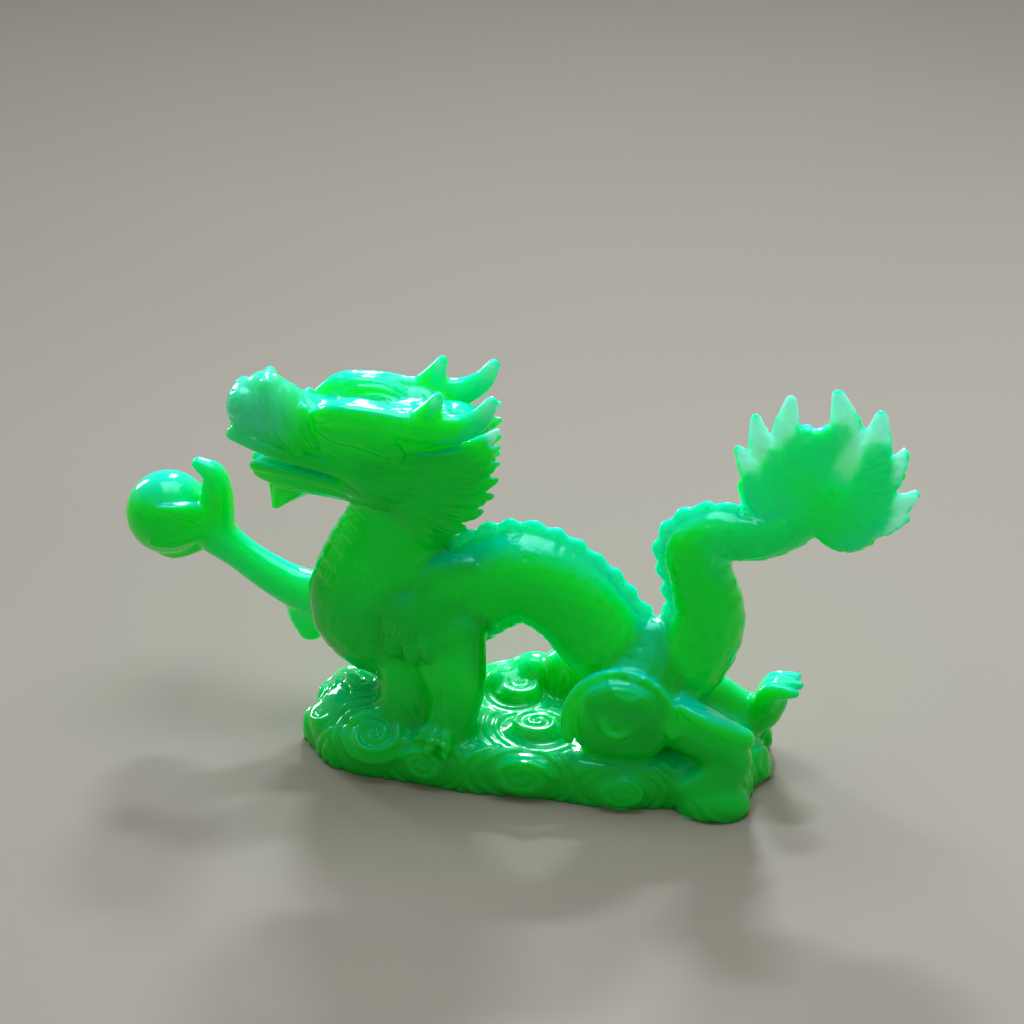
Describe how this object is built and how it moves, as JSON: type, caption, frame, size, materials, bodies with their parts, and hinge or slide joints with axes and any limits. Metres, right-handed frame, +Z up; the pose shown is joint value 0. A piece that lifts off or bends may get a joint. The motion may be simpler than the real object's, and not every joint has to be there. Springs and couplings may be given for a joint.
{
  "type": "figurine",
  "caption": "Small cast resin dragon in imitation jade, striding over a base of curling clouds with a pearl in its raised claw",
  "frame": {"origin": "centre of the plinth's flat underside", "axes": "+Z up, +X along the dragon from its head towards its tail fan, -Y out of its near flank, the side the picture shows"},
  "size_m": [0.1131, 0.0293, 0.0592],
  "materials": {
    "jade_resin": "glossy translucent green cast resin that imitates jade"
  },
  "bodies": {
    "root": {"dragon": "jade_resin"}
  },
  "joints": []
}
